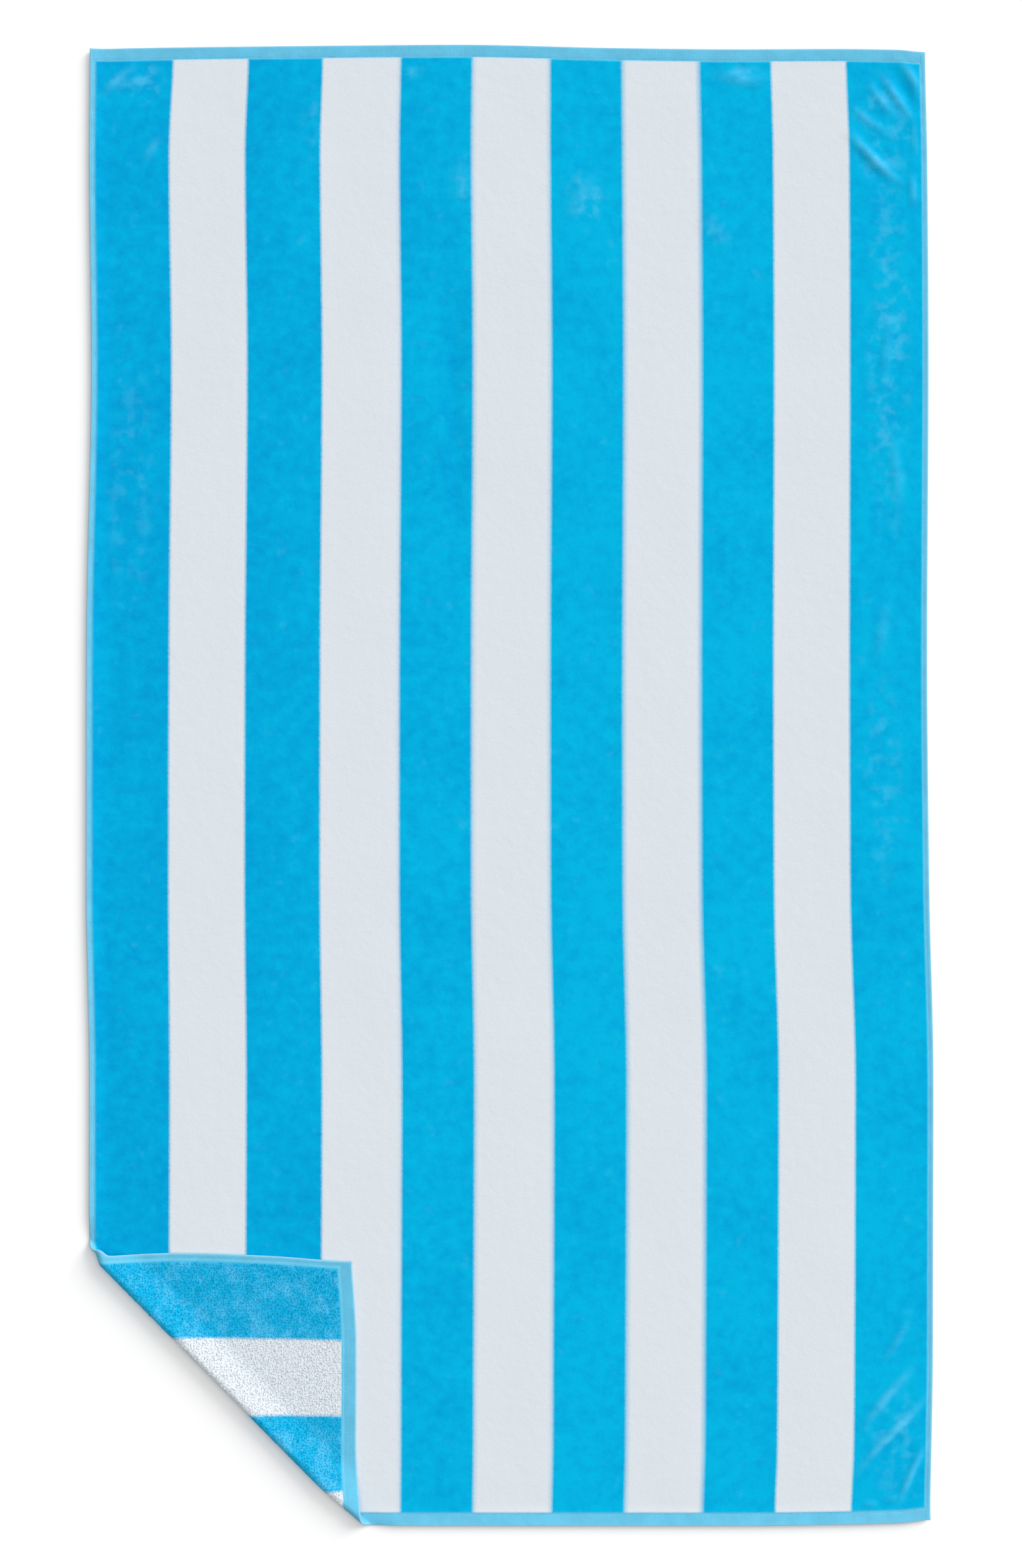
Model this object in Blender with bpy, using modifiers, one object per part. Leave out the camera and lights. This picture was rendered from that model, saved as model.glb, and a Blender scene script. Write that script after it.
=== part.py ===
"""A beach towel spread flat, face up, with its lower left corner turned over on to the front.

The towel is one length of velour terry with a hem on all four sides, so it is one solid. It is cut as
a flat sheet, its edges and stripes are drawn a little out of true, its corner is rolled over the fold
line, and soft ridges are raised near the corners. Solidify then gives the sheet its thickness.

Metres, +X across the stripes, +Y along them, +Z up, origin under the middle of the towel's outline.
"""

import math
from collections import namedtuple

import bmesh
import bpy
import numpy as np
from mathutils import Vector

# Driving dimensions
WIDTH = 1.014  # across the stripes, hem to hem
LENGTH = 1.782  # along the stripes
THICKNESS = 0.003  # the cloth with the pile of both faces
BLUE = (0.0, 0.418, 0.73, 1.0)

# The turned corner. Its fold runs down to the right from the left edge.
FOLD_START = 0.326  # height above the lower edge where the fold's outer line leaves the left edge
FOLD_SLOPE = math.radians(45.3)
CURL_RADIUS = 0.006  # of the middle of the cloth, round the fold
LANDING_SLOPE = math.radians(15)  # how steeply the turned cloth comes down to the front
LANDING_RADIUS = 0.06  # of the soft bend with which it lies down
FLAP_GAP = 0.001  # between the front and the turned corner lying on it
CURL_STEP = math.radians(19.5)
LANDING_STEPS = 3

# How far each long edge, and the stripe border next to it, stray from straight (positive to +X)
Side = namedtuple("Side", "height left_edge left_border right_border right_edge")
SIDES = (
    Side(0.000, 0.0020, 0.0000, 0.0010, 0.0000),
    Side(0.100, -0.0035, -0.0010, 0.0045, 0.0018),
    Side(0.200, -0.0060, -0.0012, 0.0052, 0.0033),
    Side(0.340, -0.0004, -0.0008, 0.0059, 0.0036),
    Side(0.530, 0.0000, -0.0002, 0.0063, 0.0040),
    Side(0.770, -0.0040, -0.0018, 0.0002, -0.0011),
    Side(1.050, -0.0037, -0.0011, -0.0008, -0.0036),
    Side(1.400, 0.0023, 0.0018, -0.0002, -0.0020),
    Side(1.650, -0.0002, -0.0010, -0.0012, -0.0035),
    Side(1.782, 0.0006, 0.0042, -0.0052, -0.0060),
)
BORDERS = (0.0965, 0.9180)  # how far from the left edge those two stripe borders run

# How far each short edge strays from straight (positive to +Y)
End = namedtuple("End", "across lower_edge upper_edge")
ENDS = (
    End(0.000, 0.0060, -0.0035),
    End(0.050, 0.0025, -0.0024),
    End(0.100, -0.0003, -0.0015),
    End(0.290, -0.0013, 0.0006),
    End(0.445, -0.0015, 0.0018),
    End(0.635, -0.0016, -0.0022),
    End(0.780, -0.0016, -0.0037),
    End(0.910, 0.0000, -0.0033),
    End(0.980, 0.0020, -0.0043),
    End(1.014, 0.0055, -0.0070),
)

# How far the fold's outer line draws in from straight, near its two ends
Pinch = namedtuple("Pinch", "along inward")
PINCHES = (
    Pinch(0.003, 0.0060),
    Pinch(0.020, 0.0000),
    Pinch(0.385, 0.0000),
    Pinch(0.456, 0.0044),
    Pinch(0.475, 0.0058),
)

# Soft ridges in the front, each a long low swelling: where its middle is, measured from the lower left
# corner, its heading from +X in degrees, half its length, half its width, and its height
Ridge = namedtuple("Ridge", "across height heading half_length half_width rise")
RIDGES = (
    Ridge(0.987, 1.719, -60, 0.040, 0.013, 0.0025),
    Ridge(0.964, 1.720, -58, 0.030, 0.012, 0.0018),
    Ridge(0.947, 1.697, -41, 0.034, 0.014, 0.0012),
    Ridge(0.954, 1.645, -43, 0.050, 0.015, 0.0025),
    Ridge(0.962, 0.154, 47, 0.042, 0.013, 0.0018),
    Ridge(0.966, 0.103, 45, 0.056, 0.014, 0.0024),
    Ridge(0.992, 0.054, 62, 0.038, 0.012, 0.0020),
    Ridge(0.788, 1.749, -10, 0.040, 0.020, 0.0015),
    Ridge(0.758, 1.566, -48, 0.034, 0.016, 0.0016),
    Ridge(0.597, 1.604, 60, 0.040, 0.020, 0.0014),
    Ridge(0.430, 1.385, -88, 0.260, 0.035, 0.0013),
    Ridge(0.036, 1.734, 45, 0.032, 0.014, 0.0016),
    Ridge(0.076, 1.655, 55, 0.028, 0.014, 0.0014),
)

# The sheet's columns and rows, closer together where the ridges are
WIDE_COLUMNS, CLOSE_COLUMNS = 13, 9
CLOSE_ACROSS = 0.915
LOWER_ROWS, MIDDLE_ROWS, UPPER_ROWS = 14, 15, 14
CLOSE_BELOW, CLOSE_ABOVE = 0.190, 1.590
SNAP = 0.0008  # a corner of the sheet this near a fold station isn't cut

FOLD_ALONG = Vector((math.cos(FOLD_SLOPE), -math.sin(FOLD_SLOPE), 0))
FOLD_OUTWARD = Vector((-math.sin(FOLD_SLOPE), -math.cos(FOLD_SLOPE), 0))
FLAP_HEIGHT = THICKNESS + FLAP_GAP  # from the middle of the front to the middle of the flap
CURL_TURN = math.pi + LANDING_SLOPE
CURL_LENGTH = CURL_RADIUS * CURL_TURN
LANDING_LENGTH = LANDING_RADIUS * LANDING_SLOPE
SLOPE_LENGTH = (
    CURL_RADIUS * (1 + math.cos(LANDING_SLOPE))
    - LANDING_RADIUS * (1 - math.cos(LANDING_SLOPE))
    - FLAP_HEIGHT
) / math.sin(LANDING_SLOPE)


def clear_scene():
    """Removes every object, so that the file holds the towel alone."""
    for old in list(bpy.data.objects):
        bpy.data.objects.remove(old, do_unlink=True)


def column(rows, name):
    """One named column of a table."""
    return np.array([getattr(row, name) for row in rows])


def smooth(places, values, at):
    """The value at a place on a smooth curve through the given ones, with no overshoot."""
    steps = np.diff(places)
    slopes = np.diff(values) / steps
    bends = np.zeros(len(values))
    for i in range(1, len(slopes)):
        before, after = slopes[i - 1], slopes[i]
        if before * after > 0:
            bends[i] = 2 * before * after / (before + after)
    i = int(np.clip(np.searchsorted(places, at) - 1, 0, len(steps) - 1))
    t = min(max((at - places[i]) / steps[i], 0), 1)
    ease = t * t * (3 - 2 * t)
    leave, reach = t * (1 - t) ** 2, t * t * (t - 1)
    level = values[i] + (values[i + 1] - values[i]) * ease
    return level + steps[i] * (leave * bends[i] + reach * bends[i + 1])


def out_of_true(across, height):
    """A point of the cut cloth where it lies, before the corner is turned, from the lower left corner."""
    places = (0, *BORDERS, WIDTH)
    strays = [
        smooth(column(SIDES, "height"), column(SIDES, name), height)
        for name in Side._fields[1:]
    ]
    lower, upper = (
        smooth(column(ENDS, "across"), column(ENDS, name), across)
        for name in End._fields[1:]
    )
    x = across + np.interp(across, places, strays)
    y = height + lower + (upper - lower) * height / LENGTH
    return Vector((x, y, 0))


def pinch(point):
    """How far the fold is drawn in beside a point."""
    along = (point - fold_origin()).dot(FOLD_ALONG)
    return smooth(column(PINCHES, "along"), column(PINCHES, "inward"), along)


def fold_origin():
    """Where the fold's outer line leaves the left edge."""
    return Vector((0, FOLD_START, 0))


def past_root(point):
    """How far outwards a point of the flat cloth lies from where the curl leaves the floor."""
    return (point - fold_origin()).dot(FOLD_OUTWARD) + CURL_RADIUS + THICKNESS / 2


def around_fold(run):
    """Outward and upward place on the fold's section after this run of cloth past its root."""
    if run <= 0:
        return run, 0.0
    turn = min(run, CURL_LENGTH) / CURL_RADIUS
    outward = CURL_RADIUS * math.sin(turn)
    up = CURL_RADIUS * (1 - math.cos(turn))
    slope = min(max(run - CURL_LENGTH, 0), SLOPE_LENGTH)
    outward -= slope * math.cos(LANDING_SLOPE)
    up -= slope * math.sin(LANDING_SLOPE)
    landed = max(run - CURL_LENGTH - SLOPE_LENGTH, 0)
    left = LANDING_SLOPE - min(landed, LANDING_LENGTH) / LANDING_RADIUS
    outward -= LANDING_RADIUS * (math.sin(LANDING_SLOPE) - math.sin(left))
    up -= LANDING_RADIUS * (math.cos(left) - math.cos(LANDING_SLOPE))
    if run > CURL_LENGTH:
        outward -= max(landed - LANDING_LENGTH, 0)
    return outward, up


def fold_stations():
    """The runs past the root at which the sheet needs a line of corners to bend."""
    curl_steps = round(CURL_TURN / CURL_STEP)
    curl = np.linspace(0, CURL_LENGTH, curl_steps + 1)
    landing = np.linspace(0, LANDING_LENGTH, LANDING_STEPS + 1)
    return [*curl, *(CURL_LENGTH + SLOPE_LENGTH + landing)]


def ridge_rise(across, height):
    """How far the ridges lift the cloth at a point of its front."""
    rise = 0.0
    for ridge in RIDGES:
        heading = math.radians(ridge.heading)
        x, y = across - ridge.across, height - ridge.height
        along = (x * math.cos(heading) + y * math.sin(heading)) / ridge.half_length
        aside = (y * math.cos(heading) - x * math.sin(heading)) / ridge.half_width
        if abs(along) < 1 and abs(aside) < 1:
            rise = max(rise, ridge.rise * (1 - along**2) ** 2 * (1 - aside**2) ** 2)
    return rise


def grid_lines():
    """Where the sheet's columns and rows run, from the lower left corner."""
    columns = np.concatenate(
        (
            np.linspace(0, CLOSE_ACROSS, WIDE_COLUMNS),
            np.linspace(CLOSE_ACROSS, WIDTH, CLOSE_COLUMNS)[1:],
        )
    )
    rows = np.concatenate(
        (
            np.linspace(0, CLOSE_BELOW, LOWER_ROWS),
            np.linspace(CLOSE_BELOW, CLOSE_ABOVE, MIDDLE_ROWS)[1:],
            np.linspace(CLOSE_ABOVE, LENGTH, UPPER_ROWS)[1:],
        )
    )
    return columns, rows


def cut_sheet():
    """The towel as one flat sheet of quads, its edges out of true, ready to bend at the fold."""
    columns, rows = grid_lines()
    sheet = bmesh.new()
    bmesh.ops.create_grid(
        sheet, x_segments=len(columns) - 1, y_segments=len(rows) - 1, size=0.5
    )
    rise = sheet.verts.layers.float.new("rise")
    for corner in sheet.verts:
        across = columns[round((corner.co.x + 0.5) * (len(columns) - 1))]
        height = rows[round((corner.co.y + 0.5) * (len(rows) - 1))]
        corner[rise] = ridge_rise(across, height)
        corner.co = out_of_true(across, height)
        corner.co += FOLD_OUTWARD * pinch(corner.co)
    for run in fold_stations():
        at = fold_origin() + FOLD_OUTWARD * (run - CURL_RADIUS - THICKNESS / 2)
        bmesh.ops.bisect_plane(
            sheet,
            geom=[*sheet.verts, *sheet.edges, *sheet.faces],
            dist=SNAP,
            plane_co=at,
            plane_no=FOLD_OUTWARD,
        )
    bmesh.ops.triangulate(sheet, faces=sheet.faces)
    return sheet


def turn_corner(sheet):
    """Rolls what lies beyond the root of the fold up and over, and raises the ridges."""
    rise = sheet.verts.layers.float["rise"]
    for corner in sheet.verts:
        run = past_root(corner.co)
        outward, up = around_fold(run)
        corner.co += FOLD_OUTWARD * (outward - run - pinch(corner.co))
        corner.co.z = THICKNESS / 2 + up + corner[rise]


def velour():
    """The blue of the stripes, as a soft matt finish."""
    material = bpy.data.materials.new("velour")
    material.use_nodes = True
    surface = material.node_tree.nodes["Principled BSDF"]
    surface.inputs["Base Color"].default_value = BLUE
    surface.inputs["Roughness"].default_value = 0.95
    surface.inputs["Metallic"].default_value = 0.0
    return material


def make_towel(collection):
    """The towel as one solid, centred under its outline."""
    sheet = cut_sheet()
    turn_corner(sheet)
    mesh = bpy.data.meshes.new("towel")
    sheet.to_mesh(mesh)
    sheet.free()
    mesh.shade_smooth()
    mesh.materials.append(velour())
    towel = bpy.data.objects.new("towel", mesh)
    collection.objects.link(towel)
    thicken = towel.modifiers.new("Thickness", "SOLIDIFY")
    thicken.thickness = THICKNESS
    thicken.offset = 0
    bpy.context.view_layer.update()
    outline = np.array(towel.evaluated_get(bpy.context.evaluated_depsgraph_get()).bound_box)
    middle = (outline.min(axis=0) + outline.max(axis=0)) / 2
    towel.location = (-middle[0], -middle[1], 0)
    return towel


def main():
    clear_scene()
    collection = bpy.data.collections.new("Beach towel")
    bpy.context.scene.collection.children.link(collection)
    make_towel(collection)


main()
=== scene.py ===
"""A striped beach towel laid flat, face up, with its lower left corner turned over on to the front.

The cloth is one closed sheet: sheared velour on its face, terry loops on its reverse and a flat
woven hem on all four sides. Its sewn hem stitches and the loops on the turned corner are joined
meshes of their own. Places on the cloth are given across the stripes and up along them, in metres
from the lower left corner of the cut cloth, and laid() puts them where they lie round the fold.
"""

import math
from collections import namedtuple

import bmesh
import bpy
import numpy as np
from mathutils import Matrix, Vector, noise


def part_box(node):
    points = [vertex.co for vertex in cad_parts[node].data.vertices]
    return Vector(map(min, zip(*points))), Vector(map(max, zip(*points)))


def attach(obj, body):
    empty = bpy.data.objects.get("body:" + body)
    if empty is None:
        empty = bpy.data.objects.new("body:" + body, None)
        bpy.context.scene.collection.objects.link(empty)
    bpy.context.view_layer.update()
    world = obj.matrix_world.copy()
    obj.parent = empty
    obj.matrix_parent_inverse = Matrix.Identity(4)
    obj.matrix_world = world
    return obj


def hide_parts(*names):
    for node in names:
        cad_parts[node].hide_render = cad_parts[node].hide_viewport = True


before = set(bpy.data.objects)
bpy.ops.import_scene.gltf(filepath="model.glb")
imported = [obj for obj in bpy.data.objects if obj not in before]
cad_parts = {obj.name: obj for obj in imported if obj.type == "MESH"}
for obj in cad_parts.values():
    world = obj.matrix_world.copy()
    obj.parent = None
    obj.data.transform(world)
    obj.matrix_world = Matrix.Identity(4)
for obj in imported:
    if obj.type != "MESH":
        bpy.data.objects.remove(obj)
CAD_LOW, CAD_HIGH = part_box("towel")

bl_info = {
    "name": "Beach towel",
    "version": (1, 0, 0),
    "blender": (4, 5, 0),
    "location": "3D View > Sidebar > Towel",
    "description": "Makes a striped velour beach towel with a turned corner",
    "category": "Object",
}

WIDTH = 1.014  # across the stripes, hem to hem
LENGTH = 1.782  # along the stripes
THICKNESS = 0.003  # the cloth with the pile of both faces

# The turned corner. Its fold runs down to the right from the left edge.
FOLD_START = 0.326  # height above the lower edge where the fold's outer line leaves the left edge
FOLD_SLOPE = math.radians(45.3)
CURL_RADIUS = 0.006  # of the middle of the cloth, round the fold
LANDING_SLOPE = math.radians(15)  # how steeply the turned cloth comes down to the front
LANDING_RADIUS = 0.06  # of the soft bend with which it lies down
FLAP_GAP = 0.001  # between the front and the turned corner lying on it
CURL_STEPS = 15
SLOPE_STEPS = 3
LANDING_STEPS = 4
FOLD_ALONG = Vector((math.cos(FOLD_SLOPE), -math.sin(FOLD_SLOPE), 0))
FOLD_OUTWARD = Vector((-math.sin(FOLD_SLOPE), -math.cos(FOLD_SLOPE), 0))
FLAP_HEIGHT = THICKNESS + FLAP_GAP  # from the middle of the front to the middle of the flap
CURL_TURN = math.pi + LANDING_SLOPE
CURL_LENGTH = CURL_RADIUS * CURL_TURN
LANDING_LENGTH = LANDING_RADIUS * LANDING_SLOPE
SLOPE_LENGTH = (
    CURL_RADIUS * (1 + math.cos(LANDING_SLOPE))
    - LANDING_RADIUS * (1 - math.cos(LANDING_SLOPE))
    - FLAP_HEIGHT
) / math.sin(LANDING_SLOPE)

# How far each long edge, and the stripe border next to it, stray from straight (positive to +X)
Side = namedtuple("Side", "height left_edge left_border right_border right_edge")
SIDES = (
    Side(0.000, 0.0020, 0.0000, 0.0010, 0.0000),
    Side(0.100, -0.0035, -0.0010, 0.0045, 0.0018),
    Side(0.200, -0.0060, -0.0012, 0.0052, 0.0033),
    Side(0.340, -0.0004, -0.0008, 0.0059, 0.0036),
    Side(0.530, 0.0000, -0.0002, 0.0063, 0.0040),
    Side(0.770, -0.0040, -0.0018, 0.0002, -0.0011),
    Side(1.050, -0.0037, -0.0011, -0.0008, -0.0036),
    Side(1.400, 0.0023, 0.0018, -0.0002, -0.0020),
    Side(1.650, -0.0002, -0.0010, -0.0012, -0.0035),
    Side(1.782, 0.0006, 0.0042, -0.0052, -0.0060),
)

# How far each short edge strays from straight (positive to +Y)
End = namedtuple("End", "across lower_edge upper_edge")
ENDS = (
    End(0.000, 0.0060, -0.0035),
    End(0.050, 0.0025, -0.0024),
    End(0.100, -0.0003, -0.0015),
    End(0.290, -0.0013, 0.0006),
    End(0.445, -0.0015, 0.0018),
    End(0.635, -0.0016, -0.0022),
    End(0.780, -0.0016, -0.0037),
    End(0.910, 0.0000, -0.0033),
    End(0.980, 0.0020, -0.0043),
    End(1.014, 0.0055, -0.0070),
)

# How far the fold's outer line draws in from straight, near its two ends
Pinch = namedtuple("Pinch", "along inward")
PINCHES = (
    Pinch(0.003, 0.0060),
    Pinch(0.020, 0.0000),
    Pinch(0.385, 0.0000),
    Pinch(0.456, 0.0044),
    Pinch(0.475, 0.0058),
)

# Where one stripe ends and the next begins. The first and the last stripe are blue.
STRIPE_BORDERS = (0.0965, 0.1889, 0.2804, 0.3727, 0.4632, 0.5548, 0.6455, 0.7368, 0.8269, 0.9180)

# Soft ridges and troughs in the front: the middle, the heading from +X in degrees, half the length,
# half the width, the rise (negative for a trough) and how far the middle bows out to the left
Ridge = namedtuple("Ridge", "across height heading half_length half_width rise bow")
RIDGES = (
    Ridge(0.993, 1.747, -62, 0.030, 0.008, 0.0022, 0.005),
    Ridge(0.984, 1.737, -60, 0.036, 0.008, -0.0016, 0.002),
    Ridge(0.980, 1.726, -56, 0.042, 0.007, 0.0023, -0.003),
    Ridge(0.960, 1.721, -55, 0.034, 0.007, 0.0018, -0.002),
    Ridge(0.946, 1.697, -39, 0.042, 0.007, 0.0013, -0.003),
    Ridge(0.950, 1.652, -44, 0.058, 0.009, 0.0027, -0.004),
    Ridge(0.938, 1.641, -50, 0.036, 0.012, -0.0011, 0.000),
    Ridge(0.994, 1.612, -86, 0.028, 0.007, 0.0016, 0.002),
    Ridge(0.999, 1.676, -88, 0.030, 0.004, 0.0014, 0.000),
    Ridge(0.961, 0.152, 49, 0.060, 0.009, 0.0021, 0.003),
    Ridge(0.966, 0.105, 46, 0.078, 0.009, 0.0025, 0.003),
    Ridge(0.958, 0.090, 42, 0.040, 0.008, -0.0012, 0.000),
    Ridge(0.991, 0.056, 66, 0.050, 0.007, 0.0022, 0.002),
    Ridge(0.971, 0.222, 58, 0.040, 0.008, 0.0012, 0.000),
    Ridge(0.968, 0.030, 10, 0.016, 0.006, 0.0012, 0.000),
    Ridge(0.940, 0.024, -5, 0.014, 0.006, 0.0012, 0.000),
    Ridge(0.788, 1.749, -10, 0.040, 0.012, 0.0016, -0.003),
    Ridge(0.756, 1.566, -50, 0.032, 0.009, 0.0017, -0.002),
    Ridge(0.597, 1.604, 60, 0.036, 0.012, 0.0014, 0.003),
    Ridge(0.430, 1.385, -88, 0.260, 0.024, -0.0013, 0.006),
    Ridge(0.448, 1.620, -85, 0.040, 0.010, 0.0011, 0.002),
    Ridge(0.036, 1.740, 42, 0.034, 0.008, 0.0019, 0.006),
    Ridge(0.050, 1.742, 30, 0.018, 0.006, 0.0010, 0.000),
    Ridge(0.078, 1.660, 60, 0.026, 0.008, 0.0014, 0.002),
    Ridge(0.966, 1.420, 84, 0.060, 0.010, 0.0010, 0.003),
    Ridge(0.972, 1.270, 96, 0.070, 0.010, 0.0011, -0.003),
    Ridge(0.958, 1.080, 80, 0.050, 0.012, 0.0009, 0.000),
)

# Patches of painted highlight where the nap was brushed against its lie: the middle, half the width
# and height of the patch, and how strongly it shows
Brushed = namedtuple("Brushed", "across height half_width half_height strength")
GLINT_PATCHES = (
    Brushed(0.965, 1.420, 0.030, 0.260, 0.55),
    Brushed(0.958, 0.900, 0.026, 0.140, 0.35),
    Brushed(0.600, 1.600, 0.026, 0.040, 0.70),
    Brushed(0.632, 1.519, 0.007, 0.007, 0.90),
    Brushed(0.450, 1.625, 0.012, 0.045, 0.60),
    Brushed(0.384, 1.747, 0.012, 0.010, 0.60),
    Brushed(0.050, 1.250, 0.030, 0.180, 0.30),
    Brushed(0.060, 1.740, 0.032, 0.030, 0.65),
    Brushed(0.970, 0.100, 0.035, 0.080, 0.45),
    Brushed(0.960, 1.680, 0.040, 0.080, 0.55),
    Brushed(0.790, 1.752, 0.042, 0.012, 0.60),
    Brushed(0.268, 1.690, 0.010, 0.050, 0.45),
)

# How far in from the rim the sheet's lines run in the side hems and in the end hems, up to where
# the pile has its height
SIDE_INSETS = (0.0, 0.0003, 0.0010, 0.0024, 0.0042, 0.0050, 0.0058, 0.0066, 0.0078, 0.0090)
END_INSETS = (0.0, 0.0003, 0.0010, 0.0030, 0.0070, 0.0115, 0.0128, 0.0139, 0.0150, 0.0162, 0.0175)

# The sheet's other lines, close together at the right, lower and upper edges for their creases
FINE_ACROSS = 0.915
FINE_BELOW, FOLD_BELOW, FINE_ABOVE = 0.185, 0.350, 1.585
FINE_PITCH = 0.0037
FOLD_COLUMN, FOLD_ROW = 0.0058, 0.0062
PLAIN_COLUMN, PLAIN_ROW = 0.0086, 0.0105
SNAP = 0.0003  # a corner of the sheet this near a fold station isn't cut

CURLED_EDGE, EDGE_LIFT = 0.026, 0.0036  # how the left and the lower edge curl up off the floor
RIM_PART = 0.30  # thickness of the hem's outermost line beside the hem's own
HEM_ROUNDING = 0.0011  # how far in from the rim the hem has its whole thickness
SEAM_INSET = 0.0013  # from a hem's inner edge out to its stitches and the groove they lie in
GROOVE_WIDTH, GROOVE_DEPTH = 0.0007, 0.0005
PILE_RISE = 0.0016  # over how much cloth the pile rises from the hem
PILE_START = 0.3  # how far it has risen at the hem's edge
LEVEL_RIM = 0.03  # the swellings fade out this near the rim
WIDE_SWELLING, NARROW_SWELLING = 0.075, 0.033  # pitches
PUCKER_PITCH, PUCKER_HEIGHT = 0.013, 0.0008
PUCKER_INSET, PUCKER_WIDTH = 0.010, 0.008  # where the puckers along the hems are highest
DEEPEST_TROUGH = -0.0012  # lower ones would sink into the floor
FOLD_MARGIN = 0.02  # the creases fade out this near the fold

STRAY = 0.00012  # of a stitch from its place
SEWN_INSET = 0.004  # how far from the ends of the long hems the stitches begin
SEAM_GAP = 0.002  # between the stitches of the end hems and those of the side hems
STITCH_RISE, STITCH_SUNK = 0.00022, 0.00006  # the arch of a stitch and how deep its ends lie
STITCH_ENDS = -0.0002

LOOPS_FROM = 0.62  # how far round the curl the separate loops begin
LOOPS_INSET = 0.0014  # between the hems and the loops
LOOPS_PAST = 0.02  # how far past the fold's start loops are tried
LOOP_YARN, LOOP_HALF_WIDTH, LOOP_SUNK = 0.00042, 0.0011, 0.0003
LOOP_LEAN, LOOP_STAND = 0.6, 0.8  # shares of a loop's height that go sideways and outwards
CREST = 0.0023  # a ridge this high glints fully along its top

# How far either side of a stripe's border its colours run into each other
VELOUR_BORDER, TERRY_BORDER, LOOP_BORDER = 0.0007, 0.0008, 0.0004

FLOOR_REACH = 60.0
FLOOR_DROP = 0.0002  # keeps the floor just under the cloth
TOWARDS_ABOVE, ABOVE_SPREAD = (0.25, 0.25, 1.0), math.radians(70)
BESIDE_HEADING, BESIDE_SPREAD = math.radians(40), math.radians(36)
LIGHT_DISTANCE = 4
WORLD_STRENGTH = 0.30
CAMERA_OVER = (0.00115, 0.00107)


def length(name, description, default, least):
    """A length that a user can change."""
    return bpy.props.FloatProperty(
        name=name, description=description, default=default, min=least, unit="LENGTH"
    )


def colour(name, description, default):
    """A colour that a user can change."""
    return bpy.props.FloatVectorProperty(
        name=name, description=description, default=default, subtype="COLOR", min=0.0, max=1.0
    )


class TowelCloth(bpy.types.PropertyGroup):
    """Sizes of the cloth and its sewing."""

    side_hem: length("Side hem", "Width of the side hems on the face", 0.0066, 0.003)
    end_hem: length("End hem", "Width of the end hems on the face", 0.0150, 0.006)
    turning: length("Turning", "How much wider the hems are on the reverse", 0.0022, 0.0)
    hem_thickness: length("Hem thickness", "Thickness of the flat woven hems", 0.0023, 0.001)
    unevenness: length("Unevenness", "Height of the soft swellings of the cloth", 0.00035, 0.0)
    stitch: length("Stitch", "Length of one hem stitch with its gap", 0.0033, 0.001)
    thread: length("Thread", "Thickness of the sewing thread", 0.0005, 0.0001)
    loop_pitch: length("Loop pitch", "Distance between the separate terry loops", 0.0031, 0.001)
    loop_height: length("Loop height", "How far the terry loops stand out", 0.0012, 0.0002)
    seed: bpy.props.IntProperty(
        name="Seed", description="Chooses among the random shapes", default=7, min=0
    )


class TowelColours(bpy.types.PropertyGroup):
    """Colours of the yarns and the floor, among them a lit and a shaded copy of the blue velour and
    a painted highlight colour.
    """

    # The blue and the deeper blue are one velour colour, lit and shaded: painted light and painted
    # shade for how the nap lies to the light.
    blue: colour("Blue", "Blue velour with its nap towards the light", (0.001, 0.405, 0.668))
    shaded_blue: colour(
        "Deep blue", "Blue velour with its nap away from the light", (0.0005, 0.290, 0.585)
    )
    # Painted highlight colour: blue pile where it catches the light.
    painted_glint: colour("Glint", "Brushed blue pile that catches the light", (0.070, 0.465, 0.745))
    white: colour("White", "White velour and terry", (0.620, 0.667, 0.712))
    hem: colour("Hem", "Light blue of the woven hems", (0.112, 0.462, 0.668))
    thread: colour("Thread", "Sewing thread", (0.160, 0.500, 0.680))
    floor: colour("Floor", "Pale floor under the towel", (0.90, 0.90, 0.90))


class TowelStage(bpy.types.PropertyGroup):
    """Camera and light."""

    camera_height: length("Camera height", "Height of the camera above the floor", 3.0, 0.5)
    view_length: length("View length", "How much floor shows along the towel", 1.8921, 0.1)
    above: bpy.props.FloatProperty(
        name="Light from above",
        description="Strength of the broad light overhead",
        default=1.60,
        min=0.0,
    )
    beside: bpy.props.FloatProperty(
        name="Light from beside",
        description="Strength of the low soft light from the upper right",
        default=3.20,
        min=0.0,
    )
    slant: bpy.props.FloatProperty(
        name="Slant",
        description="How high above the floor the low light stands",
        default=math.radians(22),
        subtype="ANGLE",
    )


def column(rows, name):
    """One named column of a table."""
    return np.array([getattr(row, name) for row in rows])


def smooth(places, values, at):
    """The values at some places on a smooth curve through the given ones, with no overshoot."""
    steps = np.diff(places)
    slopes = np.diff(values) / steps
    before, after = slopes[:-1], slopes[1:]
    level_out = before * after <= 0
    spread = np.where(level_out, 1.0, before + after)
    bends = np.zeros(len(values))
    bends[1:-1] = np.where(level_out, 0.0, 2 * before * after / spread)
    i = np.clip(np.searchsorted(places, at) - 1, 0, len(steps) - 1)
    t = np.clip((at - places[i]) / steps[i], 0, 1)
    ease = t * t * (3 - 2 * t)
    leave, reach = t * (1 - t) ** 2, t * t * (t - 1)
    level = values[i] + (values[i + 1] - values[i]) * ease
    return level + steps[i] * (leave * bends[i] + reach * bends[i + 1])


def out_of_true(across, height):
    """Where points of the cut cloth lie before the corner is turned, from the lower left corner."""
    places = (0, STRIPE_BORDERS[0], STRIPE_BORDERS[-1], WIDTH)
    x = np.array(across, float)
    for i, name in enumerate(Side._fields[1:]):
        share = np.interp(across, places, np.eye(len(places))[i])
        x += share * smooth(column(SIDES, "height"), column(SIDES, name), height)
    lower, upper = (
        smooth(column(ENDS, "across"), column(ENDS, name), across) for name in End._fields[1:]
    )
    return x, height + lower + (upper - lower) * height / LENGTH


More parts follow.
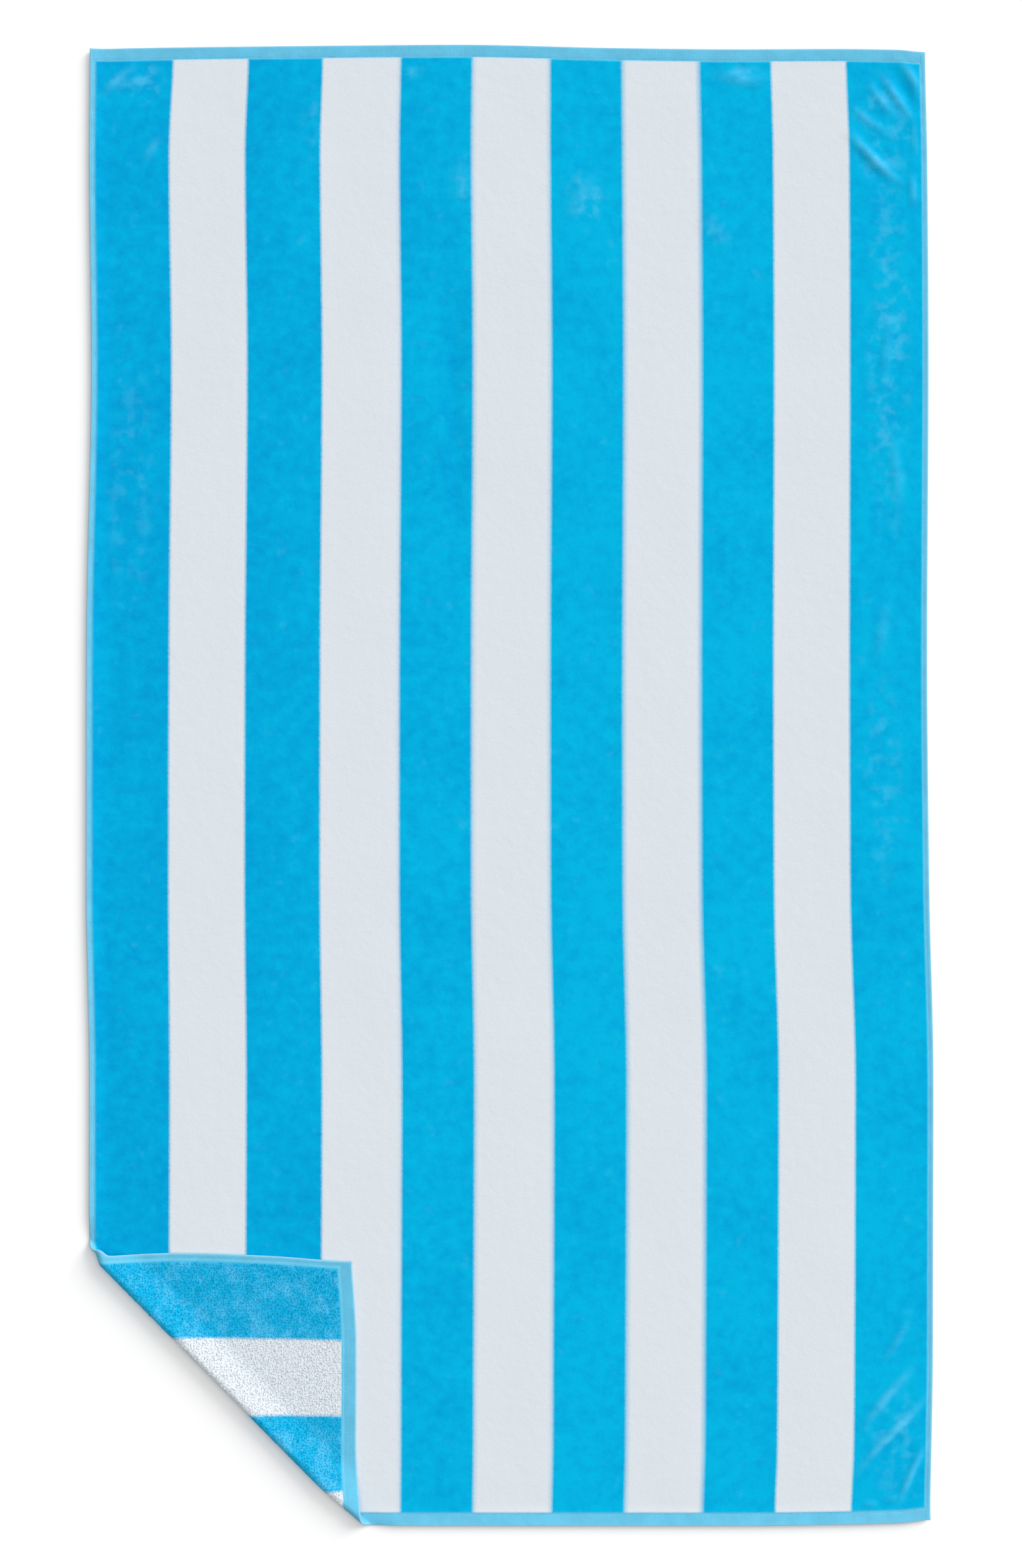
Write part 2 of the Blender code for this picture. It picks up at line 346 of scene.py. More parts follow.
def around_fold(run):
    """Outward and upward place on the fold's section, and how far it has turned there."""
    curled = np.clip(run, 0, CURL_LENGTH) / CURL_RADIUS
    slope = np.clip(run - CURL_LENGTH, 0, SLOPE_LENGTH)
    landed = np.maximum(run - CURL_LENGTH - SLOPE_LENGTH, 0)
    left = LANDING_SLOPE - np.minimum(landed, LANDING_LENGTH) / LANDING_RADIUS
    outward = np.minimum(run, 0) + CURL_RADIUS * np.sin(curled)
    outward -= slope * math.cos(LANDING_SLOPE)
    outward -= LANDING_RADIUS * (math.sin(LANDING_SLOPE) - np.sin(left))
    outward -= np.maximum(landed - LANDING_LENGTH, 0)
    up = CURL_RADIUS * (1 - np.cos(curled)) - slope * math.sin(LANDING_SLOPE)
    up -= LANDING_RADIUS * (np.cos(left) - math.cos(LANDING_SLOPE))
    return outward, up, curled + left - LANDING_SLOPE


def past_root(across, height):
    """How much cloth lies between these points and the line where the curl leaves the floor."""
    x, y = out_of_true(across, height)
    y = y - FOLD_START
    along = x * FOLD_ALONG.x + y * FOLD_ALONG.y
    drawn = smooth(column(PINCHES, "along"), column(PINCHES, "inward"), along)
    return x * FOLD_OUTWARD.x + y * FOLD_OUTWARD.y + CURL_RADIUS + THICKNESS / 2 + drawn


def laid(across, height, lift):
    """Points of the towel where they lie, lift being their distance from its middle to its face."""
    x, y = out_of_true(across, height)
    run = past_root(across, height)
    outward, up, turn = around_fold(run)
    out = outward - run - lift * np.sin(turn)
    spots = np.empty((len(x), 3))
    spots[:, 0] = x + FOLD_OUTWARD.x * out
    spots[:, 1] = y + FOLD_OUTWARD.y * out
    spots[:, 2] = THICKNESS / 2 + up + lift * np.cos(turn)
    return spots


def ridge_rise(across, height):
    """How far the ridges lift the cloth, or the troughs let it sink."""
    lift, drop = np.zeros(len(across)), np.zeros(len(across))
    for ridge in RIDGES:
        heading = math.radians(ridge.heading)
        x, y = across - ridge.across, height - ridge.height
        along = (x * math.cos(heading) + y * math.sin(heading)) / ridge.half_length
        along = np.clip(along, -1, 1)
        aside = y * math.cos(heading) - x * math.sin(heading) - ridge.bow * (1 - along**2)
        aside = np.clip(aside / ridge.half_width, -1, 1)
        rise = ridge.rise * (1 - along**2) ** 2 * (1 - aside**2) ** 2
        lift, drop = np.maximum(lift, rise), np.minimum(drop, rise)
    return lift + drop


def painted_nap_glint(across, height):
    """How strongly the painted highlight of the brushed nap shows, from 0 to 1."""
    most = np.zeros(len(across))
    for patch in GLINT_PATCHES:
        x = (across - patch.across) / patch.half_width
        y = (height - patch.height) / patch.half_height
        most = np.maximum(most, patch.strength * np.clip(1 - x * x - y * y, 0, 1))
    return most


def from_rim(across, height):
    """How far points of the cut cloth are from its nearest long edge and its nearest short edge."""
    return np.minimum(across, WIDTH - across), np.minimum(height, LENGTH - height)


def clouds(across, height, pitch, seed):
    """Soft random swellings of about this pitch, from -1 to 1."""
    return np.array(
        [
            noise.noise(Vector((x / pitch, y / pitch, seed)))
            for x, y in zip(across, height, strict=True)
        ]
    )


def spaced(start, end, pitch):
    """Evenly spaced places from start up to end, leaving end out, about one pitch apart."""
    return np.linspace(start, end, max(1, round((end - start) / pitch)), endpoint=False)


def grid_lines():
    """Where the columns and rows of the sheet run: close together in the hems and the corners."""
    side, end = np.array(SIDE_INSETS), np.array(END_INSETS)
    columns = np.concatenate(
        (
            side[:-1],
            spaced(side[-1], STRIPE_BORDERS[0], FOLD_COLUMN),
            spaced(STRIPE_BORDERS[0], FINE_ACROSS, PLAIN_COLUMN),
            spaced(FINE_ACROSS, WIDTH - side[-1], FINE_PITCH),
            WIDTH - side[::-1],
        )
    )
    rows = np.concatenate(
        (
            end[:-1],
            spaced(end[-1], FINE_BELOW, FINE_PITCH),
            spaced(FINE_BELOW, FOLD_BELOW, FOLD_ROW),
            spaced(FOLD_BELOW, FINE_ABOVE, PLAIN_ROW),
            spaced(FINE_ABOVE, LENGTH - end[-1], FINE_PITCH),
            LENGTH - end[::-1],
        )
    )
    return columns, rows


def cut_sheet():
    """The flat sheet as (across, height) corners and its faces, cut along the bends of the fold."""
    columns, rows = grid_lines()
    sheet = bmesh.new()
    bmesh.ops.create_grid(sheet, x_segments=len(columns) - 1, y_segments=len(rows) - 1, size=0.5)
    across = sheet.verts.layers.float.new("across")
    height = sheet.verts.layers.float.new("height")
    corners = list(sheet.verts)
    for corner in corners:
        corner[across] = columns[round((corner.co.x + 0.5) * (len(columns) - 1))]
        corner[height] = rows[round((corner.co.y + 0.5) * (len(rows) - 1))]
    runs = past_root(
        np.array([corner[across] for corner in corners]),
        np.array([corner[height] for corner in corners]),
    )
    for corner, run in zip(corners, runs, strict=True):
        corner.co = (corner[across], corner[height], run)
    stations = np.concatenate(
        (
            np.linspace(0, CURL_LENGTH, CURL_STEPS, endpoint=False),
            np.linspace(0, SLOPE_LENGTH, SLOPE_STEPS, endpoint=False) + CURL_LENGTH,
            np.linspace(0, LANDING_LENGTH, LANDING_STEPS) + CURL_LENGTH + SLOPE_LENGTH,
        )
    )
    for station in stations:
        bmesh.ops.bisect_plane(
            sheet,
            geom=[*sheet.verts, *sheet.edges, *sheet.faces],
            dist=SNAP,
            plane_co=(0, 0, station),
            plane_no=(0, 0, 1),
        )
    return sheet, across, height


def on_hem(across, height, cloth, turning):
    """Whether points are on a flat woven hem, which is wider by its turning on the reverse."""
    side, end = from_rim(across, height)
    return (side < cloth.side_hem + turning) | (end < cloth.end_hem + turning)


def cloth_thickness(across, height, cloth):
    """How thick the cloth is: full pile, thinner hem, a sewn groove and a rounded rim."""
    side, end = from_rim(across, height)
    hem = cloth.hem_thickness
    past_hem = np.minimum(side - cloth.side_hem, end - cloth.end_hem)
    groove = np.exp(-(((past_hem + SEAM_INSET) / GROOVE_WIDTH) ** 2)) * GROOVE_DEPTH
    pile = np.clip(past_hem / PILE_RISE + PILE_START, 0, 1)
    thick = hem - groove + (THICKNESS - hem) * pile * pile * (3 - 2 * pile)
    rim = np.clip(np.minimum(side, end) / HEM_ROUNDING, 0, 1)
    return thick * (RIM_PART + (1 - RIM_PART) * np.sqrt(1 - (1 - rim) ** 2))


def relief(across, height, cloth):
    """How far the middle of the laid cloth stands above where a flat one would."""
    side, end = from_rim(across, height)
    inset = np.minimum(side, end)
    settled = np.clip(inset / LEVEL_RIM, 0, 1)
    swelling = clouds(across, height, WIDE_SWELLING, cloth.seed)
    swelling = swelling + 0.5 * clouds(across, height, NARROW_SWELLING, cloth.seed + 5)
    swelling = np.clip(0.45 + 0.7 * swelling, 0, None) * cloth.unevenness * settled
    pucker = np.maximum(clouds(across, height, PUCKER_PITCH, cloth.seed + 9), 0)
    pucker = pucker * PUCKER_HEIGHT * np.exp(-(((inset - PUCKER_INSET) / PUCKER_WIDTH) ** 2))
    raised = np.maximum(ridge_rise(across, height), DEEPEST_TROUGH)
    curl = np.clip(1 - np.minimum(across, height) / CURLED_EDGE, 0, 1)
    raised = raised + EDGE_LIFT * curl * curl
    on_floor = np.clip(-past_root(across, height) / FOLD_MARGIN, 0, 1)
    return (swelling + pucker + raised) * on_floor + pucker * (1 - on_floor) * 0.5


def new_object(name, mesh):
    """Links a mesh to the scene as an object."""
    piece = bpy.data.objects.new(name, mesh)
    bpy.context.scene.collection.objects.link(piece)
    return piece


def outline_shift():
    """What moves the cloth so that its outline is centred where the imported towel's is."""
    columns, rows = grid_lines()
    across, height = (grid.ravel() for grid in np.meshgrid(columns, rows))
    spots = laid(across, height, np.zeros(len(across)))
    packed = (np.array(CAD_LOW) + np.array(CAD_HIGH)) / 2
    shift = packed - (spots.min(axis=0) + spots.max(axis=0)) / 2
    shift[2] = 0
    return shift


def cloth_mesh(cloth):
    """The towel as one closed sheet: faces of slot 0 velour, 1 terry and 2 hem."""
    sheet, across_layer, height_layer = cut_sheet()
    sheet.verts.index_update()
    across = np.array([corner[across_layer] for corner in sheet.verts])
    height = np.array([corner[height_layer] for corner in sheet.verts])
    faces = [[corner.index for corner in face.verts] for face in sheet.faces]
    rim = [
        (loop.vert.index, loop.link_loop_next.vert.index)
        for edge in sheet.edges
        if edge.is_boundary
        for loop in edge.link_loops
    ]
    sheet.free()
    count = len(across)
    half = cloth_thickness(across, height, cloth) / 2
    lifted = relief(across, height, cloth)
    face_side = laid(across, height, lifted + half)
    reverse_side = laid(across, height, lifted - half)
    shell = [
        *faces,
        *([corner + count for corner in reversed(face)] for face in faces),
        *((b, a, a + count, b + count) for a, b in rim),
    ]
    spots = np.concatenate((face_side, reverse_side)) + outline_shift()
    spots[:, 2] = np.maximum(spots[:, 2], 0.0)
    mesh = bpy.data.meshes.new("towel")
    mesh.from_pydata(spots.tolist(), [], shell)
    side_of = np.concatenate(
        (np.zeros(len(faces), int), np.ones(len(faces), int), np.full(len(rim), 2))
    )
    add_slots(mesh, np.tile(across, 2), np.tile(height, 2), side_of, cloth)
    # Painted highlight along the ridge tops and painted shade in the troughs, for the velour to
    # read.
    crest = np.clip(ridge_rise(across, height) / CREST, -1, 1)
    # The nap measure carries the painted highlight of the brushed patches.
    add_measure(mesh, "nap", np.tile(painted_nap_glint(across, height), 2))
    add_measure(mesh, "crest", np.tile(np.maximum(crest, 0) ** 1.5, 2))
    add_measure(mesh, "hollow", np.tile(np.maximum(-crest, 0), 2))
    mesh.shade_smooth()
    mesh.validate()
    return mesh


def map_cloth(mesh, places):
    """Maps the mesh to its places on the cut cloth, in metres; returns the corner of each loop."""
    corners = np.empty(len(mesh.loops), np.int32)
    mesh.loops.foreach_get("vertex_index", corners)
    mesh.uv_layers.new(name="Cloth").data.foreach_set("uv", places[corners].ravel())
    return corners


def add_slots(mesh, across, height, side_of, cloth):
    """Maps the cloth, and gives each face its material slot."""
    corners = map_cloth(mesh, np.column_stack((across, height)))
    starts = np.empty(len(mesh.polygons), np.int32)
    totals = np.empty(len(mesh.polygons), np.int32)
    mesh.polygons.foreach_get("loop_start", starts)
    mesh.polygons.foreach_get("loop_total", totals)
    middle_across = np.add.reduceat(across[corners], starts) / totals
    middle_height = np.add.reduceat(height[corners], starts) / totals
    on_face = on_hem(middle_across, middle_height, cloth, 0)
    on_reverse = on_hem(middle_across, middle_height, cloth, cloth.turning)
    slots = np.where(side_of == 0, np.where(on_face, 2, 0), np.where(on_reverse, 2, 1))
    slots[side_of == 2] = 2
    mesh.polygons.foreach_set("material_index", slots.astype(np.int32))


def add_measure(mesh, name, values):
    """One value for each corner of the mesh, for the velour to read."""
    measure = mesh.attributes.new(name, "FLOAT", "POINT")
    measure.data.foreach_set("value", values.astype(np.float32))


def surface(name, **constants):
    """A new material with its node tree and surface shader; constants are named after sockets."""
    material = bpy.data.materials.new(name)
    material.use_nodes = True
    tree = material.node_tree
    shader = tree.nodes["Principled BSDF"]
    shader.inputs["Metallic"].default_value = 0.0
    for socket, value in constants.items():
        shader.inputs[socket.replace("_", " ")].default_value = value
    return material, tree, shader


def node(tree, kind, **settings):
    """A new node with its settings; those named after a socket set that input."""
    made = tree.nodes.new(kind)
    for name, value in settings.items():
        if hasattr(made, name):
            setattr(made, name, value)
        else:
            made.inputs[name.replace("_", " ")].default_value = value
    return made


def math_node(tree, operation, first, second, third=None, clamp=False):
    """A Math node fed by sockets or numbers; returns its result."""
    made = node(tree, "ShaderNodeMath", operation=operation, use_clamp=clamp)
    for socket, given in zip(made.inputs, (first, second, third), strict=False):
        if isinstance(given, bpy.types.NodeSocket):
            tree.links.new(given, socket)
        elif given is not None:
            socket.default_value = given
    return made.outputs[0]


def mixed(tree, share, first, second):
    """One colour mixed into another by a share from 0 to 1."""
    made = node(tree, "ShaderNodeMix", data_type="RGBA")
    ends = (made.inputs["Factor"], made.inputs[6], made.inputs[7])
    for socket, given in zip(ends, (share, first, second), strict=True):
        if isinstance(given, bpy.types.NodeSocket):
            tree.links.new(given, socket)
        elif socket is ends[0]:
            socket.default_value = given
        else:
            socket.default_value = (*given, 1)
    return made.outputs[2]


def scaled(colour, amount):
    """A colour made lighter or darker."""
    return tuple(min(1.0, part * amount) for part in colour)


def cloth_place(tree):
    """Sockets for the place on the cloth: as a vector, across, and height."""
    place = node(tree, "ShaderNodeUVMap", uv_map="Cloth").outputs[0]
    split = node(tree, "ShaderNodeSeparateXYZ")
    tree.links.new(place, split.inputs[0])
    return place, split.outputs[0], split.outputs[1]


def mottle(tree, place, pitch, detail=2.0, roughness=0.5):
    """Noise over the cloth whose patches are about this far apart, from 0 to 1."""
    made = node(
        tree, "ShaderNodeTexNoise", Scale=1 / pitch, Detail=detail, Roughness=roughness
    )
    tree.links.new(place, made.inputs["Vector"])
    return made.outputs["Fac"]


def swings(tree, place, pitch, detail=2.0, roughness=0.5):
    """The same noise about zero."""
    return math_node(tree, "SUBTRACT", mottle(tree, place, pitch, detail, roughness), 0.5)


def sharpened(tree, value, low, high):
    """Stretches low to high over 0 to 1, with soft ends."""
    made = node(tree, "ShaderNodeMapRange", interpolation_type="SMOOTHSTEP")
    made.inputs["From Min"].default_value = low
    made.inputs["From Max"].default_value = high
    tree.links.new(value, made.inputs["Value"])
    return made.outputs[0]


def stripe_share(tree, place, across, soft):
    """0 on the blue stripes and 1 on the white, with fibres crossing over at the borders."""
    wander = swings(tree, place, 0.004, 3.0, 0.7)
    wandered = math_node(tree, "MULTIPLY_ADD", wander, 0.0022, across)
    ramp = node(tree, "ShaderNodeValToRGB", name="Stripes")
    ramp.color_ramp.interpolation = "EASE"
    elements = ramp.color_ramp.elements
    elements[0].color, elements[-1].color = (0, 0, 0, 1), (0, 0, 0, 1)
    for i, border in enumerate(STRIPE_BORDERS):
        for edge, whiteness in ((-soft, i % 2), (soft, 1 - i % 2)):
            stop = elements.new((border + edge) / WIDTH)
            stop.color = (whiteness, whiteness, whiteness, 1)
    tree.links.new(math_node(tree, "DIVIDE", wandered, WIDTH), ramp.inputs["Fac"])
    return ramp.outputs["Color"]


def rim_inset(tree, across, height):
    """How far in from the nearest long edge and from the nearest short edge, in metres."""
    side = math_node(tree, "MINIMUM", across, math_node(tree, "SUBTRACT", WIDTH, across))
    end = math_node(tree, "MINIMUM", height, math_node(tree, "SUBTRACT", LENGTH, height))
    return side, end


def pile_edge(tree, across, height, cloth, turning, place):
    """1 where the pile meets a hem, fading to 0 a little way in."""
    side, end = rim_inset(tree, across, height)
    past = math_node(
        tree,
        "MINIMUM",
        math_node(tree, "SUBTRACT", side, cloth.side_hem + turning),
        math_node(tree, "SUBTRACT", end, cloth.end_hem + turning),
    )
    wander = swings(tree, place, 0.003, 2.0, 0.7)
    past = math_node(tree, "MULTIPLY_ADD", wander, 0.0016, past)
    return math_node(tree, "SUBTRACT", 1.0, sharpened(tree, past, 0.0, 0.0024))


def add_bump(tree, shader, heights):
    """Chains bumps, each given as (height socket, depth in metres, strength)."""
    last = None
    for height, depth, strength in heights:
        bump = node(tree, "ShaderNodeBump", Strength=strength, Distance=depth)
        tree.links.new(height, bump.inputs["Height"])
        if last is not None:
            tree.links.new(last, bump.inputs["Normal"])
        last = bump.outputs[0]
    tree.links.new(last, shader.inputs["Normal"])


def velour_material(cloth, colours):
    """Sheared pile: the blue is painted lighter towards the right and darker in the troughs
    (painted light and shade), with random patches of tone and painted highlights where brushed and
    along ridge tops.
    """
    material, tree, shader = surface(
        "velour face", Specular_IOR_Level=0.02, Sheen_Weight=0.02, Sheen_Roughness=0.45
    )
    place, across, height = cloth_place(tree)
    # Painted light: across the cloth the blue mixes from its shaded copy on the left to its lit
    # copy on the right.
    lie = sharpened(tree, across, 0.02, 0.62)
    lie = math_node(tree, "MULTIPLY_ADD", lie, 0.42, 0.36)
    wide = swings(tree, place, 0.110, 2.0)
    patchy = swings(tree, place, 0.016, 3.0, 0.6)
    fibres = swings(tree, place, 0.0016, 2.0, 0.7)
    lie = math_node(tree, "MULTIPLY_ADD", wide, 1.0, lie)
    lie = math_node(tree, "MULTIPLY_ADD", patchy, 1.7, lie)
    # Painted shade: the velour is darker in the troughs.
    hollow = node(tree, "ShaderNodeAttribute", attribute_name="hollow").outputs["Fac"]
    lie = math_node(tree, "MULTIPLY_ADD", hollow, -0.5, lie)
    lie = math_node(tree, "MULTIPLY_ADD", fibres, 0.45, lie, clamp=True)
    blue = mixed(tree, lie, colours.shaded_blue, colours.blue)
    # Painted highlight: the brushed patches of the nap measure light up in spots, stray highlights
    # show all over, and ridge tops light up along their length; all of them mix the blue towards
    # the highlight colour.
    nap = node(tree, "ShaderNodeAttribute", attribute_name="nap").outputs["Fac"]
    spots = sharpened(tree, mottle(tree, place, 0.019, 3.0, 0.5), 0.46, 0.70)
    stray_painted_glints = sharpened(tree, mottle(tree, place, 0.022, 3.0, 0.55), 0.60, 0.80)
    painted_glint = math_node(tree, "MULTIPLY", spots, nap)
    painted_glint = math_node(tree, "MULTIPLY_ADD", stray_painted_glints, 0.16, painted_glint, clamp=True)
    # Painted highlight along the ridge tops, broken up by the patchy noise.
    crest = node(tree, "ShaderNodeAttribute", attribute_name="crest").outputs["Fac"]
    broken = math_node(tree, "MULTIPLY_ADD", patchy, 1.6, 0.75, clamp=True)
    painted_glint = math_node(tree, "MULTIPLY_ADD", crest, broken, painted_glint, clamp=True)
    blue = mixed(tree, painted_glint, blue, colours.painted_glint)
    pale = math_node(tree, "MULTIPLY_ADD", wide, 0.5, 0.5)
    pale = math_node(tree, "MULTIPLY_ADD", fibres, 0.6, pale, clamp=True)
    white = mixed(tree, pale, scaled(colours.white, 0.965), scaled(colours.white, 1.03))
    striped = mixed(tree, stripe_share(tree, place, across, VELOUR_BORDER), blue, white)
    edge = pile_edge(tree, across, height, cloth, 0.0, place)
    edge = math_node(tree, "MULTIPLY", edge, 0.55)
    tree.links.new(mixed(tree, edge, striped, colours.hem), shader.inputs["Base Color"])
    rough = math_node(tree, "MULTIPLY_ADD", fibres, 0.10, 0.92, clamp=True)
    tree.links.new(rough, shader.inputs["Roughness"])
    tufts = node(tree, "ShaderNodeTexVoronoi", Scale=1 / 0.0013)
    tree.links.new(place, tufts.inputs["Vector"])
    add_bump(
        tree,
        shader,
        (
            (mottle(tree, place, 0.014, 3.0, 0.6), 0.0012, 0.30),
            (tufts.outputs["Distance"], 0.0002, 0.35),
            (mottle(tree, place, 0.0009, 2.0, 0.7), 0.0002, 0.5),
        ),
    )
    return material


def lean_of_loops(tree, place):
    """How far the terry's loops lean together, and the small tufts that are part of it; where they
    lean, the blue gets a painted highlight.
    """
    patches = sharpened(tree, mottle(tree, place, 0.026, 4.0, 0.62), 0.44, 0.68)
    small = sharpened(tree, mottle(tree, place, 0.0062, 2.0, 0.6), 0.36, 0.68)
    patches = math_node(tree, "MULTIPLY", patches, 0.75)
    return math_node(tree, "MULTIPLY_ADD", small, 0.25, patches), small


def terry_material(cloth, colours):
    """Uncut loops: mottled where they lean together, partly their own tone and partly a painted
    highlight, with a pebbled surface.
    """
    material, tree, shader = surface(
        "terry reverse", Specular_IOR_Level=0.06, Sheen_Weight=0.04, Sheen_Roughness=0.5
    )
    place, across, height = cloth_place(tree)
    lean_and_glint, small = lean_of_loops(tree, place)
    deep = mixed(tree, 0.75, colours.shaded_blue, colours.blue)
    # Partly real mottle, partly painted highlight: the blue mixes towards the highlight colour
    # where the loops lean together.
    blue = mixed(tree, lean_and_glint, deep, colours.painted_glint)
    white = mixed(tree, small, scaled(colours.white, 0.985), scaled(colours.white, 1.05))
    striped = mixed(tree, stripe_share(tree, place, across, TERRY_BORDER), blue, white)
    edge = pile_edge(tree, across, height, cloth, cloth.turning, place)
    edge = math_node(tree, "MULTIPLY", edge, 0.5)
    tree.links.new(mixed(tree, edge, striped, colours.hem), shader.inputs["Base Color"])
    rough = math_node(tree, "MULTIPLY_ADD", small, 0.08, 0.88)
    tree.links.new(rough, shader.inputs["Roughness"])
    loops = node(tree, "ShaderNodeTexVoronoi", Scale=1 / 0.0019, feature="SMOOTH_F1")
    tree.links.new(place, loops.inputs["Vector"])
    rounded = math_node(tree, "SUBTRACT", 1.0, loops.outputs["Distance"])
    add_bump(
        tree,
        shader,
        (
            (mottle(tree, place, 0.011, 3.0, 0.6), 0.0022, 0.4),
            (rounded, 0.0006, 0.5),
            (mottle(tree, place, 0.0008, 2.0, 0.7), 0.0002, 0.4),
        ),
    )
    return material


def hem_material(cloth, colours):
    """Flat weave: fine ribs both ways, paler and greyer along the rounded rim."""
    material, tree, shader = surface("hem weave", Specular_IOR_Level=0.2, Sheen_Weight=0.06)
    place, across, height = cloth_place(tree)
    side, end = rim_inset(tree, across, height)
    inset = math_node(tree, "MINIMUM", side, end)
    rim = math_node(tree, "SUBTRACT", 1.0, sharpened(tree, inset, 0.0002, 0.0024))
    rim_mottle = mottle(tree, place, 0.006, 3.0, 0.6)
    rim = math_node(tree, "MULTIPLY", rim, math_node(tree, "MULTIPLY_ADD", rim_mottle, 0.6, 0.35))
    shade = sharpened(tree, mottle(tree, place, 0.030, 3.0, 0.6), 0.30, 0.70)
    base = mixed(tree, shade, scaled(colours.hem, 0.93), scaled(colours.hem, 1.05))
    greyed = mixed(tree, 0.5, colours.hem, scaled(colours.white, 0.82))
    base = mixed(tree, rim, base, greyed)
    ribs = []
    for along in (across, height):
        wave = math_node(tree, "SINE", math_node(tree, "MULTIPLY", along, math.tau / 0.0011), 0)
        ribs.append(math_node(tree, "MULTIPLY_ADD", wave, 0.5, 0.5))
    weave = math_node(tree, "MULTIPLY", ribs[0], ribs[1])
    threads = math_node(tree, "MULTIPLY", weave, 0.18)
    tree.links.new(
        mixed(tree, threads, base, scaled(colours.hem, 1.25)), shader.inputs["Base Color"]
    )
    rough = math_node(tree, "MULTIPLY_ADD", weave, -0.08, 0.86)
    tree.links.new(rough, shader.inputs["Roughness"])
    add_bump(
        tree,
        shader,
        ((mottle(tree, place, 0.007, 2.0), 0.0008, 0.35), (weave, 0.00025, 0.6)),
    )
    return material


def yarn_material(name, colour, twist_pitch):
    """Twisted yarn, a little darker between its strands."""
    material, tree, shader = surface(name, Specular_IOR_Level=0.2)
    place = node(tree, "ShaderNodeTexCoord").outputs["Object"]
    strands = mottle(tree, place, twist_pitch, 2.0, 0.6)
    wide = mottle(tree, place, 0.012, 3.0, 0.6)
    blend = math_node(tree, "MULTIPLY_ADD", strands, 0.5, math_node(tree, "MULTIPLY", wide, 0.5))
    shade = sharpened(tree, blend, 0.36, 0.64)
    tree.links.new(
        mixed(tree, shade, scaled(colour, 0.86), scaled(colour, 1.1)),
        shader.inputs["Base Color"],
    )
    tree.links.new(
        math_node(tree, "MULTIPLY_ADD", strands, 0.1, 0.78), shader.inputs["Roughness"]
    )
    add_bump(tree, shader, ((strands, 0.0002, 0.5),))
    return material


def loop_material(colours):
    """Terry loops in the colour of the stripe that they stand on, painted lighter than the cloth's
    terry to offset the shade among them.
    """
    material, tree, shader = surface("terry loops", Specular_IOR_Level=0.15)
    place, across, _ = cloth_place(tree)
    lean_and_glint, small = lean_of_loops(tree, place)
    # Painted light: the loops' blue and white are lighter copies of the terry's colours, which
    # offsets the shade among the loops.
    deep = mixed(tree, 0.9, colours.shaded_blue, colours.blue)
    blue = mixed(tree, lean_and_glint, deep, scaled(colours.painted_glint, 1.05))
    white = mixed(tree, small, scaled(colours.white, 1.10), scaled(colours.white, 1.16))
    tree.links.new(
        mixed(tree, stripe_share(tree, place, across, LOOP_BORDER), blue, white),
        shader.inputs["Base Color"],
    )
    rough = math_node(tree, "MULTIPLY_ADD", small, 0.1, 0.82)
    tree.links.new(rough, shader.inputs["Roughness"])
    add_bump(tree, shader, ((mottle(tree, place, 0.0006, 2.0, 0.7), 0.0002, 0.4),))
    return material


def tube_faces(rings, around):
    """Faces of one closed tube of so many rings and sides, its ends closed by a point each."""
    faces = []
    for ring in range(rings - 1):
        for side in range(around):
            near, far = ring * around + side, ring * around + (side + 1) % around
            faces.append((near, far, far + around, near + around))
    first, last = rings * around, rings * around + 1
    top = (rings - 1) * around
    for side in range(around):
        after = (side + 1) % around
        faces.append((first, after, side))
        faces.append((last, top + side, top + after))
    return faces


def repeated(faces, each, count):
    """The faces of one small piece, repeated for each copy, each copy having so many corners."""
    return [tuple(corner + each * i for corner in face) for i in range(count) for face in faces]


def stitch_rows(cloth):
    """Middles of the hem stitches as (across, height) and their headings as (across, height)."""
    side, end = cloth.side_hem - SEAM_INSET, cloth.end_hem - SEAM_INSET
    up = np.arange(SEWN_INSET, LENGTH - SEWN_INSET, cloth.stitch)
    along = np.arange(side + SEAM_GAP, WIDTH - side - SEAM_GAP, cloth.stitch)
    rows = [(np.full(len(up), inset), up, 0.0, 1.0) for inset in (side, WIDTH - side)]
    rows += [(along, np.full(len(along), inset), 1.0, 0.0) for inset in (end, LENGTH - end)]
    across, height = (np.concatenate([row[i] for row in rows]) for i in (0, 1))
    heading = np.concatenate([np.tile(row[2:], (len(row[0]), 1)) for row in rows])
    return across, height, heading


